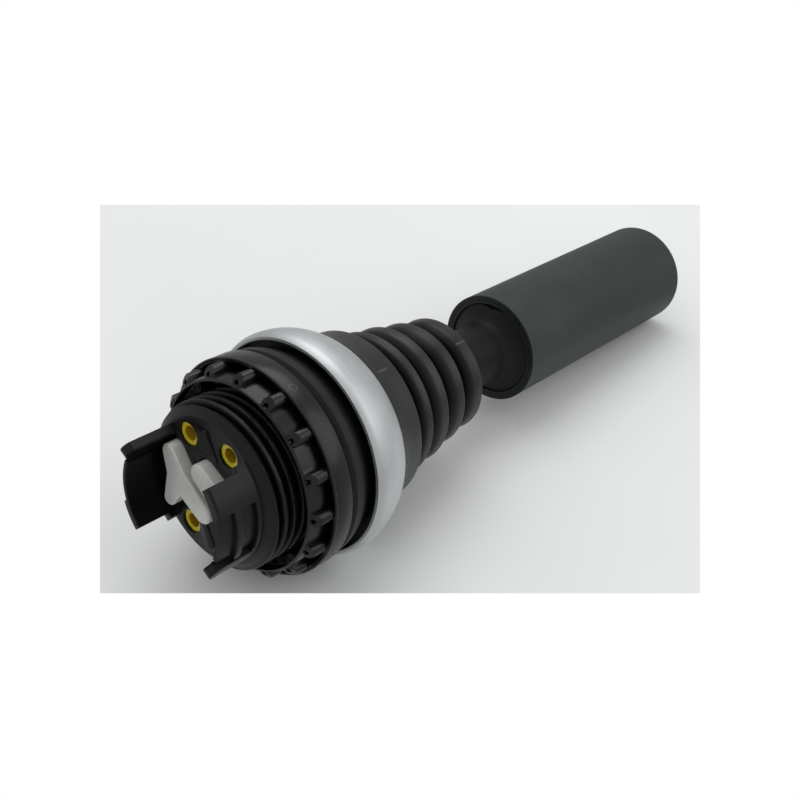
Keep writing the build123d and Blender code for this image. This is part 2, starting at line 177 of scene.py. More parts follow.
def turned_metal(name, dark, base, light, roughness, line=0.12, depth=0.004):
    """Turned metal: fine tool lines round the Z axis that stretch the highlight.

    The noise is read at (radius, z) with no part from the angle, so it is the same all
    the way round. line is the lines' spacing and depth their depth, in mm.
    """
    made, tree, shader, place = new_material(name)
    radius, height = cylinder_places(made)
    profile = add(tree, "CombineXYZ", X=radius, Y=height)
    lines = add(tree, "TexNoise", Vector=profile.outputs["Vector"],
                Scale=1 / line, Detail=2.0)
    cloud = add(tree, "TexNoise", Vector=place, Scale=0.25, Detail=3.0)
    streaks = add(tree, "Math", {"operation": "MULTIPLY"},
                  in_0=lines.outputs["Fac"], in_1=0.45)
    tone = add(tree, "Math", {"operation": "MULTIPLY_ADD"},
               in_0=cloud.outputs["Fac"], in_1=0.55, in_2=streaks.outputs[0])
    gloss = add(tree, "MapRange", Value=tone.outputs[0], From_Min=0.3,
                From_Max=0.7, To_Min=roughness - 0.04, To_Max=roughness + 0.06)
    bump = add(tree, "Bump", Strength=0.35, Distance=depth * MM,
               Height=lines.outputs["Fac"])
    colour = ramp(tree, tone.outputs[0], [(0.3, dark), (0.5, base), (0.7, light)])
    plug(tree, shader, Base_Color=colour, Roughness=gloss.outputs["Result"],
         Normal=bump.outputs["Normal"], Metallic=1.0)
    return made


def overlaid(made, factor, code, metallic=None, specular=None):
    """Where the factor is 1 the material has this colour and these settings instead."""
    tree = made.node_tree
    shader = tree.nodes["Principled BSDF"]
    colour = shader.inputs["Base Color"]
    mix = add(tree, "Mix", {"data_type": "RGBA"}, Factor=factor,
              in_6=colour.links[0].from_socket, in_7=linear(code))
    tree.links.new(mix.outputs[2], colour)
    for name, value in (("Metallic", metallic), ("Specular IOR Level", specular)):
        if value is not None:
            socket = shader.inputs[name]
            blend = add(tree, "MapRange", Value=factor, To_Min=socket.default_value,
                        To_Max=value)
            tree.links.new(blend.outputs["Result"], socket)


def parting_mark(tree, place, first, second):
    """A short raised line of flash, 1 on a line between two points and 0 beside it.

    A point is its distance from the Z axis, its angle in degrees and its height. The
    line fades out between its inner and its outer half width, and at its ends.
    """
    inner, outer, fade = 0.08, 0.2, 0.1
    ends = [Vector((r * math.cos(math.radians(a)), r * math.sin(math.radians(a)), z))
            for r, a, z in (first, second)]
    middle = (ends[0] + ends[1]) / 2
    half = (ends[1] - ends[0]).length / 2
    along = tuple((ends[1] - ends[0]).normalized())
    offset = add(tree, "VectorMath", {"operation": "SUBTRACT"}, in_0=place,
                 in_1=tuple(middle))
    reach = add(tree, "VectorMath", {"operation": "DOT_PRODUCT"},
                in_0=offset.outputs["Vector"], in_1=along)
    away = add(tree, "Math", {"operation": "ABSOLUTE"}, in_0=reach.outputs["Value"])
    beside = add(tree, "VectorMath", {"operation": "CROSS_PRODUCT"},
                 in_0=offset.outputs["Vector"], in_1=along)
    width = add(tree, "VectorMath", {"operation": "LENGTH"},
                in_0=beside.outputs["Vector"])
    mark = add(tree, "Math", {"operation": "MULTIPLY"},
               in_0=step(tree, width.outputs["Value"], outer, inner),
               in_1=step(tree, away.outputs[0], half + fade, half - fade))
    return mark.outputs[0]


def bellows_rubber():
    """Moulded chloroprene bellows: matt, near black and faintly blooming, with painted light
    on the crests and painted shade in the valleys.

    The attribute fold is 0 in the valleys and 1 on the crests. Two flash lines are left
    from the tool, one on the skirt and one on the last fold; the bump raises them, and they
    are painted paler, a painted highlight along them.
    """
    skirt_flash = ((12.45, 302.5, 11.6), (12.1, 302.0, 13.5))
    fold_flash = ((8.3, 302.0, 29.8), (8.4, 302.5, 31.9))
    made, tree, shader, place = new_material("chloroprene_rubber_moulded")
    colours = joystick_colours()
    fold = add(tree, "Attribute", {"attribute_name": "fold"})
    fine = add(tree, "TexNoise", Vector=place, Scale=3.0, Detail=4.0)
    bloom = add(tree, "TexNoise", Vector=place, Scale=0.3, Detail=4.0)
    tone = add(tree, "Math", {"operation": "MULTIPLY_ADD"},
               in_0=bloom.outputs["Fac"], in_1=0.35, in_2=-0.17)
    # Painted light and shade: with the fold the colour runs from the painted shade of the
    # valleys to the painted light of the crests
    level = add(tree, "Math", {"operation": "MULTIPLY_ADD"},
                in_0=fold.outputs["Fac"], in_1=0.8, in_2=tone.outputs[0])
    marks = add(tree, "Math", {"operation": "ADD"},
                in_0=parting_mark(tree, place, *skirt_flash),
                in_1=parting_mark(tree, place, *fold_flash))
    relief = add(tree, "Math", {"operation": "MULTIPLY_ADD"},
                 in_0=marks.outputs[0], in_1=6.0, in_2=fine.outputs["Fac"])
    gloss = add(tree, "MapRange", Value=fine.outputs["Fac"], From_Min=0.3,
                From_Max=0.7, To_Min=0.34, To_Max=0.48)
    bump = add(tree, "Bump", Strength=0.4, Distance=0.012 * MM,
               Height=relief.outputs[0])
    colour = ramp(tree, level.outputs[0], [(0.0, colours.rubber_valley_shade),
                                           (0.45, colours.rubber), (1.0, colours.rubber_crest_light)])
    plug(tree, shader, Base_Color=colour, Roughness=gloss.outputs["Result"],
         Normal=bump.outputs["Normal"])
    # Painted shade: the valleys turn near black and lose their gloss
    overlaid(made, step(tree, fold.outputs["Fac"], 0.9, 0.15), "#030303", specular=0.03)
    # Painted highlight: the flash lines are painted paler than the rubber
    overlaid(made, marks.outputs[0], "#3a3c3b")
    return made


def pin_acetal():
    """Moulded yellow acetal: a slightly waxy gloss, and painted shade, darker and amber, in the
    depth of the bore.

    The distance to the nearest pin's axis is worked out from the four pins' places,
    folded onto one by the absolute value of x and y.
    """
    made, tree, shader, place = new_material("acetal_moulded_yellow")
    sizes = joystick_sizes()
    colours = joystick_colours()
    folded = add(tree, "VectorMath", {"operation": "ABSOLUTE"}, in_0=place)
    shifted = add(tree, "VectorMath", {"operation": "MULTIPLY_ADD"},
                  in_0=folded.outputs["Vector"], in_1=(1.0, 1.0, 0.0),
                  in_2=(-sizes.pin_x / MM, -sizes.pin_y / MM, 0.0))
    distance = add(tree, "VectorMath", {"operation": "LENGTH"},
                   in_0=shifted.outputs["Vector"])
    fine = add(tree, "TexNoise", Vector=place, Scale=2.0, Detail=3.0)
    level = add(tree, "Math", {"operation": "MULTIPLY_ADD"},
                in_0=fine.outputs["Fac"], in_1=0.12, in_2=distance.outputs["Value"])
    scaled = add(tree, "Math", {"operation": "MULTIPLY"},
                 in_0=level.outputs[0], in_1=0.5)
    bump = add(tree, "Bump", Strength=0.2, Distance=0.01 * MM,
               Height=fine.outputs["Fac"])
    # Painted shade: the colour turns darker and amber towards each pin's axis
    colour = ramp(tree, scaled.outputs[0], [(0.45, colours.pin_bore_shade), (0.56, colours.pin),
                                            (0.8, colours.pin_rim)])
    plug(tree, shader, Base_Color=colour, Roughness=0.35, Normal=bump.outputs["Normal"],
         Subsurface_Weight=0.15, Subsurface_Radius=(0.0008, 0.0005, 0.0001))
    return made


# Surfaces

def grid_faces(rows, columns):
    """Quads of a grid that closes on itself in both directions."""
    first = np.arange(rows)[:, None] * columns
    second = ((np.arange(rows) + 1) % rows)[:, None] * columns
    here = np.arange(columns)[None, :]
    there = (here + 1) % columns
    quads = np.stack([first + here, first + there, second + there, second + here], axis=-1)
    return quads.reshape(-1, 4)


def put_mesh(name, points, faces, material):
    """New object at the origin from points in millimetres and quads."""
    mesh = bpy.data.meshes.new(name)
    mesh.from_pydata((points * MM).tolist(), [], faces.tolist())
    mesh.polygons.foreach_set("use_smooth", np.full(len(faces), True))
    mesh.materials.append(material)
    mesh.update()
    made = bpy.data.objects.new(name, mesh)
    bpy.context.scene.collection.objects.link(made)
    return made


def softened(corners, reach, steps=5):
    """Outline with each corner replaced by a quadratic curve.

    A corner is (radius, height), or (radius, height, reach) with a reach of its own. Each
    curve starts and ends at a distance of reach along the corner's two sides, or at most
    just short of their middles, with the corner as its middle control point:
    (1-t)^2 a + 2t(1-t) corner + t^2 b.
    """
    most = 0.49
    corner = np.asarray([c[:2] for c in corners], float)
    limit = np.asarray([c[2] if len(c) > 2 else reach for c in corners], float)
    before = np.roll(corner, 1, axis=0) - corner
    after = np.roll(corner, -1, axis=0) - corner
    before_length = np.linalg.norm(before, axis=1)
    after_length = np.linalg.norm(after, axis=1)
    start_share = np.minimum(limit, before_length * most) / before_length
    end_share = np.minimum(limit, after_length * most) / after_length
    start = corner + before * start_share[:, None]
    end = corner + after * end_share[:, None]
    t = np.linspace(0, 1, steps)[None, :, None]
    curve = ((1 - t) ** 2 * start[:, None] + 2 * t * (1 - t) * corner[:, None]
             + t ** 2 * end[:, None])
    return curve.reshape(-1, 2)


def turned(name, outline, segments, material, shape=None):
    """Closed (radius, z) outline carried round the Z axis.

    A point is (radius cos a, radius sin a, z). The outline runs anticlockwise with the
    radius to the right and z up, so the faces point outwards. shape gives the radius
    from the angle, the radius and z, where it changes round the axis.
    """
    angle = np.linspace(0, 2 * math.pi, segments, endpoint=False)[:, None]
    radius = outline[:, 0][None, :] + 0 * angle
    height = outline[:, 1][None, :] + 0 * angle
    if shape is not None:
        radius = shape(angle, radius, height)
    points = np.stack([radius * np.cos(angle), radius * np.sin(angle), height], axis=-1)
    faces = grid_faces(segments, len(outline))[:, ::-1]
    return put_mesh(name, points.reshape(-1, 3), faces, material)


def merged_copy(node_name, name):
    """Copy of a CAD node's mesh with its doubles merged."""
    made = nodes[node_name].copy()
    made.data = nodes[node_name].data.copy()
    made.name = name
    made.parent = None
    made.matrix_world = Matrix.Identity(4)
    bpy.context.scene.collection.objects.link(made)
    weld = made.modifiers.new("weld", "WELD")
    weld.merge_threshold = 0.000001
    apply_modifiers(made)
    if "custom_normal" in made.data.attributes:
        made.data.attributes.remove(made.data.attributes["custom_normal"])
    return made


def apply_modifiers(piece):
    """The piece's mesh becomes what its modifiers give."""
    graph = bpy.context.evaluated_depsgraph_get()
    mesh = bpy.data.meshes.new_from_object(piece.evaluated_get(graph))
    old = piece.data
    piece.modifiers.clear()
    piece.data = mesh
    bpy.data.meshes.remove(old)


def bevelled(piece, width, degrees):
    """Rounds the edges sharper than an angle, so that they catch the light as moulded ones.

    width is in mm. The two new strips on an edge stay within the width of its faces.
    """
    bevel = piece.modifiers.new("bevel", "BEVEL")
    bevel.width = width * MM
    bevel.segments = 2
    bevel.limit_method = "ANGLE"
    bevel.angle_limit = math.radians(degrees)
    bevel.use_clamp_overlap = True
    apply_modifiers(piece)


def moved(piece, move):
    """Moves a copy's points: move gives their new places in mm from the old ones."""
    flat = np.empty(len(piece.data.vertices) * 3, np.float32)
    piece.data.vertices.foreach_get("co", flat)
    points = move(flat.reshape(-1, 3) / MM) * MM
    piece.data.vertices.foreach_set("co", points.ravel())
    piece.data.update()


def creased(piece, degrees):
    """Smooth shading with sharp edges where two faces meet at more than an angle."""
    piece.data.polygons.foreach_set("use_smooth", np.full(len(piece.data.polygons), True))
    piece.data.set_sharp_from_angle(angle=math.radians(degrees))


def paint(node_name, material):
    """The CAD node's own mesh takes this material."""
    slots = nodes[node_name].material_slots
    for slot in slots:
        slot.link = "OBJECT"
        slot.material = material


# Sizes and colours

def length(name, description, default):
    """Property for a length, in metres, that the panel shows in the scene's unit."""
    return bpy.props.FloatProperty(name=name, description=description, default=default,
                                   unit="LENGTH", subtype="DISTANCE")


def tint(name, what, default):
    """Property for a colour."""
    return bpy.props.StringProperty(name=name, description="sRGB hex colour " + what,
                                    default=default)


class JoystickSizes(bpy.types.PropertyGroup):
    thread_pitch: length("Thread pitch", "Distance between two turns of the panel thread",
                         0.0015)
    thread_root: length("Thread root radius", "Radius at the bottom of the thread", 0.01025)
    thread_major: length("Thread major radius", "Radius at the thread's crests", 0.011)
    bellows_wall: length("Bellows wall", "Thickness of the rubber", 0.00085)
    pin_x: length("Pin place across", "Distance of a switch pin from the YZ plane", 0.00355)
    pin_y: length("Pin place along", "Distance of a switch pin from the XZ plane", 0.0063)


class JoystickColours(bpy.types.PropertyGroup):
    housing: tint("Housing", "of the threaded housing", "#0e0f0e")
    nut: tint("Ring nut", "of the ring nut", "#0e0f0e")
    gasket: tint("Gasket", "of the gasket", "#171817")
    # Painted shade in the bellows' valleys and painted light on their crests, round the
    # rubber's own colour
    rubber_valley_shade: tint("Bellows valleys", "deep in the bellows", "#050505")
    rubber: tint("Bellows", "of the bellows", "#0f100f")
    rubber_crest_light: tint("Bellows crests", "of the bellows' crests", "#1c1d1c")
    bezel: tint("Bezel", "of the satin bezel", "#ccd0d1")
    grip: tint("Grip", "of the grip", "#2e3332")
    neck: tint("Neck", "of the lever's neck", "#161717")
    plunger: tint("Plungers", "of the plungers", "#b4b6b2")
    pin: tint("Pins", "of the switch pins", "#b8a41c")
    pin_rim: tint("Pin rims", "of the switch pins' outside", "#c8bd2c")
    # Painted shade deep in the pins' bores
    pin_bore_shade: tint("Pin bores", "inside the switch pins", "#8f5f08")


# Pieces

class JOYSTICK_OT_housing(bpy.types.Operator):
    """Puts the panel thread on a copy of the housing, as a sleeve round its barrel"""
    bl_idname = "joystick.housing"
    bl_label = "Threaded housing"

    # Radii and heights in mm. A pair is a band of painted shade: the darker colour starts at
    # its first value and is full at its second
    # Painted shade in the thread's roots, past the lead-in
    root_shade_radii = (10.9, 10.5)
    past_lead_in = (-9.9, -9.4)
    # Painted shade on the inner sides of the ears, behind the rear face
    ear_shade_heights = (-10.8, -11.3)
    ear_shade_radii = (8.5, 8.2)
    # The barrel of the copy: its gap to the thread's root, and how its outside is found
    root_gap = 0.05
    barrel_play = 0.03
    barrel_end = 1.01
    fewest_points = 20
    # The ribs on the rear face: their height, how they are found and what is taken off
    rib_height = -10.9
    rib_play = 0.01
    rib_reach = 8.05
    rib_cut = 0.25
    # The sleeve, the size of the wave that its ridges are cut from, the height of a crest,
    # and the cone over the lead-in
    sleeve_inner = 9.45
    sleeve_bottom = -10.42
    sleeve_top = 1.05
    sleeve_rows = 190
    sleeve_segments = 288
    ridge_size = 0.8
    first_crest = -9.65
    cone_radius = 9.62
    cone_height = -10.5
    cone_growth = 1.45
    cone_length = 0.95

    def execute(self, context):
        housing = merged_copy("threaded_housing", "threaded_housing_dressed")
        moved(housing, self.slimmed)
        bevelled(housing, width=0.12, degrees=35)
        creased(housing, degrees=30)
        skin = moulded("glass_filled_polyamide_moulded", "#0a0b0a", joystick_colours().housing,
                       "#131413", roughness=0.36, grain=0.3, grain_depth=0.02, specular=0.3)
        housing.data.materials.clear()
        housing.data.materials.append(skin)
        root = skin.copy()
        root.name = "glass_filled_polyamide_thread"
        radius, height = cylinder_places(root)
        tree = root.node_tree
        # Painted shade: the thread's roots past the lead-in turn near black and lose their
        # gloss
        valley = add(tree, "Math", {"operation": "MULTIPLY"},
                     in_0=step(tree, radius, *self.root_shade_radii),
                     in_1=step(tree, height, *self.past_lead_in))
        overlaid(root, valley.outputs[0], "#040404", specular=0.04)
        sleeve = self.thread(root)
        radius, height = cylinder_places(skin)
        tree = skin.node_tree
        # Painted shade: the ears' inner sides turn near black and lose their gloss
        inside = add(tree, "Math", {"operation": "MULTIPLY"},
                     in_0=step(tree, height, *self.ear_shade_heights),
                     in_1=step(tree, radius, *self.ear_shade_radii))
        overlaid(skin, inside.outputs[0], "#050605", specular=0.1)
        for piece in (housing, sleeve):
            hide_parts("threaded_housing")
            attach(piece, "housing")
        return {"FINISHED"}

    def slimmed(self, points):
        """The barrel's outside goes in to the thread's root, and the face ribs are low."""
        sizes = joystick_sizes()
        root, major = sizes.thread_root / MM - self.root_gap, sizes.thread_major / MM
        radius = np.hypot(points[:, 0], points[:, 1])
        outside = (abs(radius - major) < self.barrel_play) & (points[:, 2] < self.barrel_end)
        if outside.sum() < self.fewest_points:
            raise RuntimeError("the barrel's outside wasn't found")
        points[outside, :2] *= (root / radius[outside])[:, None]
        rib = (abs(points[:, 2] - self.rib_height) < self.rib_play) & (radius < self.rib_reach)
        points[rib, 2] += self.rib_cut
        return points

    def thread(self, material):
        """Right-handed thread as one closed sleeve.

        With the phase z / pitch - a / 2 pi, a ridge is a cosine of the phase that is cut
        flat at the crest and at the root. A cone over the barrel's lead-in cuts the
        first turn down. The inside is a plain cylinder.
        """
        sizes = joystick_sizes()
        major, root, pitch = (size / MM for size in (sizes.thread_major, sizes.thread_root,
                                                     sizes.thread_pitch))
        inner = self.sleeve_inner
        height = np.linspace(self.sleeve_bottom, self.sleeve_top, self.sleeve_rows)
        outline = np.concatenate([np.stack([0 * height + major, height], axis=1),
                                  [(inner, self.sleeve_top), (inner, self.sleeve_bottom)]])

        def ridges(angle, radius, height):
            phase = (height - self.first_crest) / pitch - angle / (2 * math.pi)
            wave = self.ridge_size * np.cos(2 * math.pi * phase)
            ridge = np.clip(0.5 + wave, 0, 1)
            past = height - self.cone_height
            cone = self.cone_radius + past * self.cone_growth / self.cone_length
            cut = np.minimum(root + (major - root) * ridge, cone)
            return np.where(radius > (inner + major) / 2, cut, radius)

        sleeve = turned("panel_thread", outline, self.sleeve_segments, material, ridges)
        creased(sleeve, degrees=60)
        return sleeve


class JOYSTICK_OT_nut(bpy.types.Operator):
    """Rounds a copy of the ring nut and lets the outer ends of its lugs fall away"""
    bl_idname = "joystick.nut"
    bl_label = "Ring nut"

    # Radii and heights in mm. A pair is a band of painted shade: the darker colour starts at
    # its first value and is full at its second
    # Painted shade on the floor between the lugs and inside the nut
    floor_heights = (-4.4, -3.2)
    floor_radii = (13.95, 13.8)
    hollow_radii = (12.5, 12.3)
    # A thin line of painted shade beside the lip: its radii, its height and half its width
    groove_radii = (14.2, 14.3)
    groove_height = -2.95
    groove_half = 0.12
    # The lugs: outside their inner radius the rear end rises from its height by the slope
    lug_radius = 13.05
    lug_rear = -6.2
    lug_slope = 0.85
    skirt_rear = -3.5
    # The round lip at the skirt's rear
    lip_radius = 14.36
    lip_height = -3.38
    lip_section = 0.19
    lip_points = 16
    lip_segments = 240
    # The gate's witness mark, as a place on the skirt and the circle round it
    gate_radius = 14.5
    gate_degrees = 293.5
    gate_height = -2.2
    gate_circle = 0.48
    gate_line = 0.1

    def execute(self, context):
        nut = merged_copy("ring_nut", "ring_nut_dressed")
        moved(nut, self.sloped)
        bevelled(nut, width=0.1, degrees=35)
        creased(nut, degrees=30)
        skin = self.material()
        nut.data.materials.clear()
        nut.data.materials.append(skin)
        turn = np.linspace(0, 2 * math.pi, self.lip_points, endpoint=False)
        circle = np.stack([self.lip_radius + self.lip_section * np.cos(turn),
                           self.lip_height + self.lip_section * np.sin(turn)], axis=-1)
        lip = turned("nut_lip", circle, self.lip_segments, skin)
        for piece in (nut, lip):
            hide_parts("ring_nut")
            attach(piece, "nut")
        return {"FINISHED"}

    def material(self):
        """Glossy moulding, with painted shade between the lugs, inside the nut and along a thin
        line beside the lip.

        The round witness mark of the gate is a paler circle line on the skirt.
        """
        skin = moulded("polyamide_moulded_glossy", "#0a0b0a", joystick_colours().nut,
                       "#131413", roughness=0.25, grain=0.5, grain_depth=0.01, specular=0.4)
        tree = skin.node_tree
        radius, height = cylinder_places(skin)
        # Painted shade: the floor between the lugs and the inside of the nut turn near black
        # and lose their gloss
        floor = add(tree, "Math", {"operation": "MULTIPLY"},
                    in_0=step(tree, height, *self.floor_heights),
                    in_1=step(tree, radius, *self.floor_radii))
        hollow_shade = add(tree, "Math", {"operation": "MAXIMUM"},
                     in_0=floor.outputs[0], in_1=step(tree, radius, *self.hollow_radii))
        overlaid(skin, hollow_shade.outputs[0], "#050505", specular=0.06)
        # Painted shade: a thin near-black line beside the lip
        near = add(tree, "Math", {"operation": "COMPARE"},
                   in_0=height, in_1=self.groove_height, in_2=self.groove_half)
        groove_shade = add(tree, "Math", {"operation": "MULTIPLY"},
                     in_0=near.outputs[0], in_1=step(tree, radius, *self.groove_radii))
        overlaid(skin, groove_shade.outputs[0], "#040504")
        angle = math.radians(self.gate_degrees)
        gate = (self.gate_radius * math.cos(angle), self.gate_radius * math.sin(angle),
                self.gate_height)
        away = add(tree, "VectorMath", {"operation": "DISTANCE"},
                   in_0=millimetre_places(skin), in_1=gate)
        ring = add(tree, "Math", {"operation": "COMPARE"},
                   in_0=away.outputs["Value"], in_1=self.gate_circle, in_2=self.gate_line)
        overlaid(skin, ring.outputs[0], "#2b2d2c")
        return skin

    def sloped(self, points):
        """A lug's rear end rises towards the skirt with the distance from the axis."""
        radius = np.hypot(points[:, 0], points[:, 1])
        limit = self.lug_rear + (radius - self.lug_radius) * self.lug_slope
        lug = (radius > self.lug_radius) & (points[:, 2] < self.skirt_rear)
        points[lug, 2] = np.maximum(points[lug, 2], limit[lug])
        return points


class JOYSTICK_OT_bellows(bpy.types.Operator):
    """Makes the rubber bellows in two parts"""
    bl_idname = "joystick.bellows"
    bl_label = "Bellows"

    # Height and radius of a ring's valley, its crest's start and end, and its crest's radius
    rings = ((16.3, 9.1, 17.8, 18.95, 10.35), (19.9, 8.5, 21.5, 22.8, 9.8),
             (23.9, 7.8, 25.9, 27.2, 8.95), (28.3, 7.1, 30.2, 31.85, 8.25))
    # Corners of the outline in mm, as softened takes them. The two parts meet at the split
    split = 15.9
    split_gap = 0.04
    skirt = ((12.8, 6.6), (12.98, 9.9), (12.6, 11.0, 0.5), (12.25, 12.0, 0.5),
             (12.05, 13.0, 0.5), (11.9, 14.2, 0.4), (11.8, 14.95, 0.15), (10.9, 15.2, 0.3),
             (9.3, 15.5, 0.3), (9.1, split + split_gap, 0.05))
    folds_start = ((9.1, split, 0.05),)
    nose = ((6.2, 32.6, 0.5), (5.2, 33.1, 0.3), (4.45, 33.15, 0.1))
    nose_bore = 4.42
    # What a ring's radius gains along its valley and along its crest, what it loses past
    # the crest, and the height that the valley and the loss take
    valley_rise = 0.1
    crest_rise = 0.15
    crest_fall = 0.9
    valley_length = 0.4
    # Roundings: of a ring's corners, of its crest's sharper end, and of any other corner
    soft = 0.3
    sharp = 0.16
    edge = 0.2
    segments = 240
    # How far the folds sit towards -Y, and the share of it at each height
    sag = 0.2
    sag_heights = (10.0, 14.0, 31.0, 33.0)
    sag_shares = (0, 1, 1, 0)
    # Radii of the crests at their heights, the depth below them that counts as a valley, and
    # the share of the crests' painted light at the heights of the skirt
    crest_heights = (6, 15, 19, 33)
    crest_radii = (13.0, 11.7, 10.3, 8.2)
    fold_depth = 1.6
    painted_light_heights = (8, 10.5, 14.0)
    painted_light_shares = (0.5, 0.75, 1.0)

    def leaning(self, angle, radius, height):
        """The folds sit a little towards -Y of the axis, but not at the foot or the nose."""
        share = np.interp(height, self.sag_heights, self.sag_shares)
        return radius - self.sag * share * np.sin(angle)

    def execute(self, context):
        rubber = bellows_rubber()
        folds = list(self.folds_start)
        for valley, valley_radius, start, end, crest in self.rings:
            folds += [(valley_radius, valley, self.soft),
                      (valley_radius + self.valley_rise, valley + self.valley_length,
                       self.soft),
                      (crest - self.crest_rise, start, self.soft),
                      (crest, end, self.sharp),
                      (crest - self.crest_fall, end + self.valley_length, self.soft)]
        lower = self.shell("bellows_skirt", list(self.skirt), rubber)
        upper = self.shell("bellows_folds", folds + list(self.nose), rubber)
        for piece in (lower, upper):
            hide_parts("bellows")
        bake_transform(lower)
        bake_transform(upper)
        return {"FINISHED"}

    def shell(self, name, outside, rubber):
        """Outer outline up, inner outline down by the wall, both carried round the axis."""
        wall = joystick_sizes().bellows_wall / MM
        inside = [(max(c[0] - wall, self.nose_bore), c[1]) + tuple(c[2:])
                  for c in outside][::-1]
        outline = softened(outside + inside, self.edge)
        piece = turned(name, outline, self.segments, rubber, self.leaning)
        radius = outline[:, 0]
        height = outline[:, 1]
        valley = np.interp(height, self.crest_heights, self.crest_radii) - self.fold_depth
        fold = np.clip((radius - valley) / self.fold_depth, 0, 1)
        fold *= np.interp(height, self.painted_light_heights, self.painted_light_shares)
        # The fold sets the painted light on the crests and the painted shade in the valleys
        attribute = piece.data.attributes.new("fold", "FLOAT", "POINT")
        attribute.data.foreach_set("value", np.tile(fold, self.segments).astype(np.float32))
        creased(piece, degrees=50)
        return piece


class JOYSTICK_OT_spring(bpy.types.Operator):
    """Makes the centring spring as two lengths of wire"""
    bl_idname = "joystick.spring"
    bl_label = "Centring spring"

    coil_radius = 6.2
    wire_radius = 0.45
    turns = 3
    top = 12.95

    def execute(self, context):
        steel = turned_metal("spring_steel_drawn", "#8c8c8a", "#a2a2a0", "#b4b4b2",
                             roughness=0.3)
        node = nodes["centring_spring"]
        low = min((node.matrix_world @ Vector(corner)).z for corner in node.bound_box)
        bottom = low / MM + self.wire_radius
        lower = self.wire("spring_lower", 0.0, 0.5, bottom, steel)
        upper = self.wire("spring_upper", 0.5, 1.0, bottom, steel)
        for piece in (lower, upper):
            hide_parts("centring_spring")
        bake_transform(lower)
        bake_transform(upper)
        return {"FINISHED"}

    def wire(self, name, first, last, bottom, material):
        """Round wire along a helix, with flat ends.

        At the share t of the rise the wire's middle is (R cos a, R sin a, bottom + t rise)
        with a = 2 pi turns t, and a circle of points stands square to the wire there.
        Quads that meet in its middle close each end.
        """
        count, around = 90, 16
        share = np.linspace(first, last, count)[:, None]
        angle = 2 * math.pi * self.turns * share
        rise = self.top - bottom
        sweep = 2 * math.pi * self.turns * self.coil_radius
        outward = np.stack([np.cos(angle), np.sin(angle), 0 * angle], axis=-1)
        middle = self.coil_radius * outward
        middle[:, :, 2] = bottom + rise * share
        along = np.stack([-sweep * np.sin(angle), sweep * np.cos(angle), rise + 0 * angle],
                         axis=-1)
        along /= np.linalg.norm(along, axis=-1, keepdims=True)
        side = np.cross(along, outward)
        turn = np.linspace(0, 2 * math.pi, around, endpoint=False)[None, :, None]
        circle = middle + self.wire_radius * (np.cos(turn) * outward + np.sin(turn) * side)
        points = np.concatenate([circle.reshape(-1, 3), middle[0], middle[-1]])
        tube = grid_faces(count, around).reshape(count, around, 4)[:-1].reshape(-1, 4)
        first_corner = np.arange(0, around, 2)
        corners = np.stack([first_corner, first_corner + 1, (first_corner + 2) % around],
                           axis=-1)
        start_middle = np.full((len(corners), 1), count * around)
        start = np.concatenate([start_middle, corners[:, ::-1]], axis=1)
        end = np.concatenate([start_middle + 1, corners + (count - 1) * around], axis=1)
        piece = put_mesh(name, points, np.concatenate([tube, start, end]), material)
        creased(piece, degrees=50)
        return piece


class JOYSTICK_OT_neck(bpy.types.Operator):
    """Makes the lever's neck, with the notch in the edge of its disc"""
    bl_idname = "joystick.neck"
    bl_label = "Neck"

    # Radii and heights in mm. The neck is straight up to the flare, which widens to the
    # disc's radius with a power of the rise
    bore = 2.52
    neck_radius = 4.4
    disc_radius = 6.75
    foot = 29.5
    straight_end = 35.0
    flare_start = 40.6
    flare_end = 43.9
    flare_power = 3.8
    flare_rows = 24
    disc_top = 44.5
    segments = 360
    # The notch: its angles in degrees, and the mm that the edge falls or rises per degree
    notch_start = 250
    notch_bottom = 271.5
    notch_end = 297
    falling = 0.55 / 21
    rising = 0.32 / 25

    def execute(self, context):
        t = np.linspace(0, 1, self.flare_rows)
        wider = self.disc_radius - self.neck_radius
        higher = self.flare_end - self.flare_start
        flare = np.stack([self.neck_radius + wider * t ** self.flare_power,
                          self.flare_start + higher * t], axis=1)
        outline = np.concatenate([
            [(self.neck_radius, self.foot), (self.neck_radius, self.straight_end)], flare,
            [(self.disc_radius, self.disc_top), (self.bore, self.disc_top),
             (self.bore, self.foot)]])
        skin = moulded("polyamide_moulded_dark", "#101111", joystick_colours().neck,
                       "#1e2020", roughness=0.5, specular=0.18)
        piece = turned("neck_dressed", outline, self.segments, skin, self.notched)
        creased(piece, degrees=40)
        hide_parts("lever_neck")
        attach(piece, "lever")
        return {"FINISHED"}

    def notched(self, angle, radius, height):
        """The disc's edge falls from the notch's start to its bottom and climbs back."""
        turn = np.degrees(angle)
        loss = np.select([(turn >= self.notch_start) & (turn < self.notch_bottom),
                          (turn >= self.notch_bottom) & (turn < self.notch_end)],
                         [self.falling * (turn - self.notch_start),
                          self.rising * (self.notch_end - turn)], 0.0)
        return np.minimum(radius, self.disc_radius - loss)


class JOYSTICK_OT_switches(bpy.types.Operator):
    """Makes the plungers and the switch pins from clean copies of their nodes"""
    bl_idname = "joystick.switches"
    bl_label = "Plungers and switch pins"

    bodies = {
        "plunger_left": "left_plunger", "plunger_right": "right_plunger",
        "switch_pin_upper_left": "pin_upper_left", "switch_pin_upper_right": "pin_upper_right",
        "switch_pin_lower_left": "pin_lower_left", "switch_pin_lower_right": "pin_lower_right",
    }

    def execute(self, context):
        plunger = moulded("acetal_moulded_pale", "#a4a6a2", joystick_colours().plunger,
                          "#c0c2be", roughness=0.42, grain=0.4, grain_depth=0.008)
        pin = pin_acetal()
        for name, body in self.bodies.items():
            is_pin = name.startswith("switch_pin")
            piece = merged_copy(name, name + "_dressed")
            creased(piece, degrees=30)
            piece.data.materials.clear()
            piece.data.materials.append(pin if is_pin else plunger)
            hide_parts(name)
            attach(piece, body)
        return {"FINISHED"}


